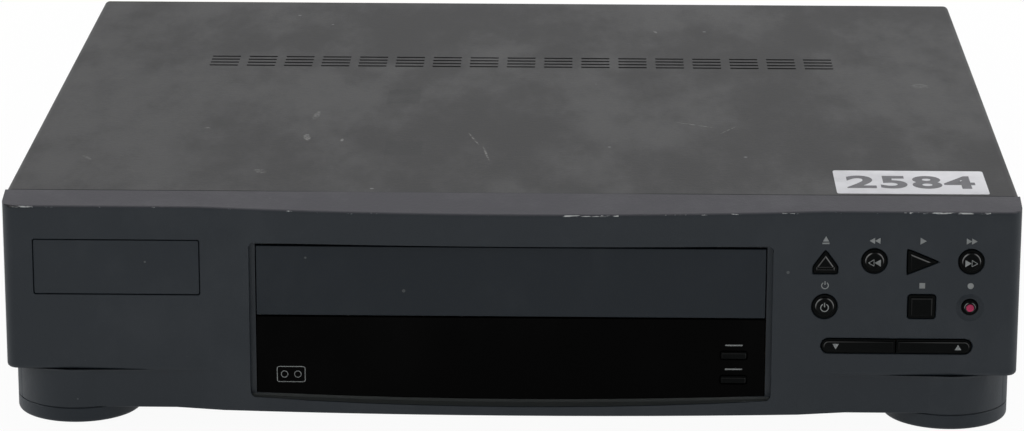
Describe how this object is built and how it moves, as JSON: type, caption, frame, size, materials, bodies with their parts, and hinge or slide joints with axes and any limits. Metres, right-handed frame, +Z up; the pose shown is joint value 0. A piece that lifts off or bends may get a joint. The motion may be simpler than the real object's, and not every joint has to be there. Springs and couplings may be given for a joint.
{
  "type": "video cassette recorder",
  "caption": "Front-loading cassette recorder: low steel-topped case on round feet, bowed front with a swinging flap, a dark window and push keys, tape deck inside.",
  "frame": {"origin": "middle of the footprint, on the surface that the feet stand on", "axes": "+X across to the keys, +Y from the front to the back, +Z up; the front faces -Y"},
  "size_m": [0.38, 0.3346, 0.088],
  "materials": {
    "cover_paint": "satin dark grey, smudged and lightly scratched",
    "fascia_plastic": "fine textured charcoal",
    "flap_plastic": "fine textured charcoal",
    "window_plastic": "smoked, glossy",
    "key_plastic": "glossy black",
    "foot_plastic": "matt charcoal",
    "foot_rubber": "matt",
    "zinc_steel": "zinc plated sheet",
    "polished_steel": "ground and polished",
    "turned_aluminium": "turned",
    "white_plastic": "moulded acetal",
    "black_plastic": "moulded",
    "board_laminate": "brown laminate board",
    "roller_rubber": "ground rubber",
    "tube_glass": "clear glass over dark segments",
    "label_paper": "white film"
  },
  "bodies": {
    "case": {"top_cover": "cover_paint", "front_fascia": "fascia_plastic", "base_tray": "fascia_plastic", "rear_panel": "black_plastic", "display_window": "window_plastic", "blanking_plate": "fascia_plastic", "number_label": "label_paper", "rear_screw_left": "zinc_steel", "rear_screw_right": "zinc_steel", "foot_front_left": "foot_plastic", "foot_front_right": "foot_plastic", "foot_rear_left": "foot_rubber", "foot_rear_right": "foot_rubber", "main_board": "board_laminate", "front_board": "board_laminate", "display_tube": "tube_glass", "power_transformer": "zinc_steel", "heat_sink": "turned_aluminium", "aerial_module": "zinc_steel", "mains_inlet": "black_plastic", "scart_socket_left": "black_plastic", "scart_socket_right": "black_plastic", "deck_plate": "zinc_steel", "lift_bracket_left": "zinc_steel", "lift_bracket_right": "zinc_steel", "lift_bridge": "zinc_steel", "drum_base": "turned_aluminium", "lower_drum": "turned_aluminium", "sound_head": "polished_steel", "erase_head": "polished_steel", "loading_motor": "zinc_steel"},
    "cassette_flap_body": {"cassette_flap": "flap_plastic"},
    "lift_carriage_body": {"lift_carriage": "zinc_steel"},
    "cassette_holder_body": {"cassette_holder": "zinc_steel"},
    "upper_drum_body": {"upper_drum": "turned_aluminium"},
    "supply_reel_table_body": {"supply_reel_table": "white_plastic"},
    "take_up_reel_table_body": {"take_up_reel_table": "white_plastic"},
    "idler_arm_body": {"idler_arm": "zinc_steel"},
    "idler_wheel_body": {"idler_wheel": "white_plastic"},
    "capstan_body": {"capstan": "polished_steel"},
    "pinch_arm_body": {"pinch_arm": "zinc_steel"},
    "pinch_roller_body": {"pinch_roller": "roller_rubber"},
    "loading_arm_left_body": {"loading_arm_left": "white_plastic"},
    "loading_arm_right_body": {"loading_arm_right": "white_plastic"},
    "cam_gear_body": {"cam_gear": "white_plastic"},
    "motor_pinion_body": {"motor_pinion": "white_plastic"},
    "eject_button_body": {"eject_button": "key_plastic"},
    "rewind_button_body": {"rewind_button": "key_plastic"},
    "play_button_body": {"play_button": "key_plastic"},
    "forward_button_body": {"forward_button": "key_plastic"},
    "standby_button_body": {"standby_button": "key_plastic"},
    "stop_button_body": {"stop_button": "key_plastic"},
    "record_button_body": {"record_button": "key_plastic"},
    "channel_down_button_body": {"channel_down_button": "key_plastic"},
    "channel_up_button_body": {"channel_up_button": "key_plastic"},
    "tuning_button_body": {"tuning_button": "key_plastic"},
    "memory_button_body": {"memory_button": "key_plastic"}
  },
  "joints": [
    {"name": "flap_hinge", "type": "hinge", "parent": "case", "child": "cassette_flap_body", "pos_m": [0, -0.15855, 0.0724], "axis": [1, 0, 0], "range_deg": [0, 90], "stiffness_Nm_per_rad": 0.004},
    {"name": "eject_press", "type": "slide", "parent": "case", "child": "eject_button_body", "axis": [0, 1, 0], "range_m": [0, 0.001], "stiffness_N_per_m": 900},
    {"name": "rewind_press", "type": "slide", "parent": "case", "child": "rewind_button_body", "axis": [0, 1, 0], "range_m": [0, 0.001], "stiffness_N_per_m": 900},
    {"name": "play_press", "type": "slide", "parent": "case", "child": "play_button_body", "axis": [0, 1, 0], "range_m": [0, 0.001], "stiffness_N_per_m": 900},
    {"name": "forward_press", "type": "slide", "parent": "case", "child": "forward_button_body", "axis": [0, 1, 0], "range_m": [0, 0.001], "stiffness_N_per_m": 900},
    {"name": "standby_press", "type": "slide", "parent": "case", "child": "standby_button_body", "axis": [0, 1, 0], "range_m": [0, 0.001], "stiffness_N_per_m": 900},
    {"name": "stop_press", "type": "slide", "parent": "case", "child": "stop_button_body", "axis": [0, 1, 0], "range_m": [0, 0.001], "stiffness_N_per_m": 900},
    {"name": "record_press", "type": "slide", "parent": "case", "child": "record_button_body", "axis": [0, 1, 0], "range_m": [0, 0.001], "stiffness_N_per_m": 900},
    {"name": "channel_down_press", "type": "slide", "parent": "case", "child": "channel_down_button_body", "axis": [0, 1, 0], "range_m": [0, 0.001], "stiffness_N_per_m": 900},
    {"name": "channel_up_press", "type": "slide", "parent": "case", "child": "channel_up_button_body", "axis": [0, 1, 0], "range_m": [0, 0.001], "stiffness_N_per_m": 900},
    {"name": "tuning_press", "type": "slide", "parent": "case", "child": "tuning_button_body", "axis": [0, 1, 0], "range_m": [0, 0.001], "stiffness_N_per_m": 900},
    {"name": "memory_press", "type": "slide", "parent": "case", "child": "memory_button_body", "axis": [0, 1, 0], "range_m": [0, 0.001], "stiffness_N_per_m": 900},
    {"name": "lift_travel", "type": "slide", "parent": "case", "child": "lift_carriage_body", "axis": [0, 1, 0], "range_m": [0, 0.032]},
    {"name": "holder_drop", "type": "slide", "parent": "lift_carriage_body", "child": "cassette_holder_body", "axis": [0, 0, -1], "range_m": [0, 0.022]},
    {"name": "drum_spin", "type": "hinge", "parent": "case", "child": "upper_drum_body", "pos_m": [0, 0.02325, 0.027], "axis": [0, 0.1045, 0.9945], "continuous": true},
    {"name": "supply_reel_spin", "type": "hinge", "parent": "case", "child": "supply_reel_table_body", "pos_m": [-0.0465, -0.07775, 0.02], "axis": [0, 0, 1], "continuous": true},
    {"name": "take_up_reel_spin", "type": "hinge", "parent": "case", "child": "take_up_reel_table_body", "pos_m": [0.0465, -0.07775, 0.02], "axis": [0, 0, 1], "continuous": true},
    {"name": "idler_swing", "type": "hinge", "parent": "case", "child": "idler_arm_body", "pos_m": [0, -0.06275, 0.021], "axis": [0, 0, 1], "range_deg": [-36, 36]},
    {"name": "idler_wheel_spin", "type": "hinge", "parent": "idler_arm_body", "child": "idler_wheel_body", "pos_m": [0, -0.08875, 0.019], "axis": [0, 0, 1], "continuous": true},
    {"name": "capstan_spin", "type": "hinge", "parent": "case", "child": "capstan_body", "pos_m": [0.062, -0.02575, 0.02], "axis": [0, 0, 1], "continuous": true},
    {"name": "pinch_swing", "type": "hinge", "parent": "case", "child": "pinch_arm_body", "pos_m": [0.088, -0.01675, 0.02], "axis": [0, 0, 1], "range_deg": [0, 58]},
    {"name": "pinch_roller_spin", "type": "hinge", "parent": "pinch_arm_body", "child": "pinch_roller_body", "pos_m": [0.07543, -0.00094, 0.03], "axis": [0, 0, 1], "continuous": true},
    {"name": "cam_turn", "type": "hinge", "parent": "case", "child": "cam_gear_body", "pos_m": [-0.05536, -0.02004, 0.0187], "axis": [0, 0, 1], "range_deg": [0, 52.8]},
    {"name": "left_arm_swing", "type": "hinge", "parent": "case", "child": "loading_arm_left_body", "pos_m": [-0.014, -0.01275, 0.0187], "axis": [0, 0, 1], "range_deg": [-105.6, 0]},
    {"name": "right_arm_swing", "type": "hinge", "parent": "case", "child": "loading_arm_right_body", "pos_m": [0.014, -0.01275, 0.0187], "axis": [0, 0, 1], "range_deg": [0, 105.6]},
    {"name": "pinion_turn", "type": "hinge", "parent": "case", "child": "motor_pinion_body", "pos_m": [-0.07461, 0.0133, 0.0187], "axis": [0, 0, 1], "range_deg": [-140.8, 0]}
  ],
  "couplings": [
    {"joint": "left_arm_swing", "follows": "cam_turn", "ratio": -2},
    {"joint": "right_arm_swing", "follows": "cam_turn", "ratio": 2},
    {"joint": "pinion_turn", "follows": "cam_turn", "ratio": -2.6667}
  ]
}
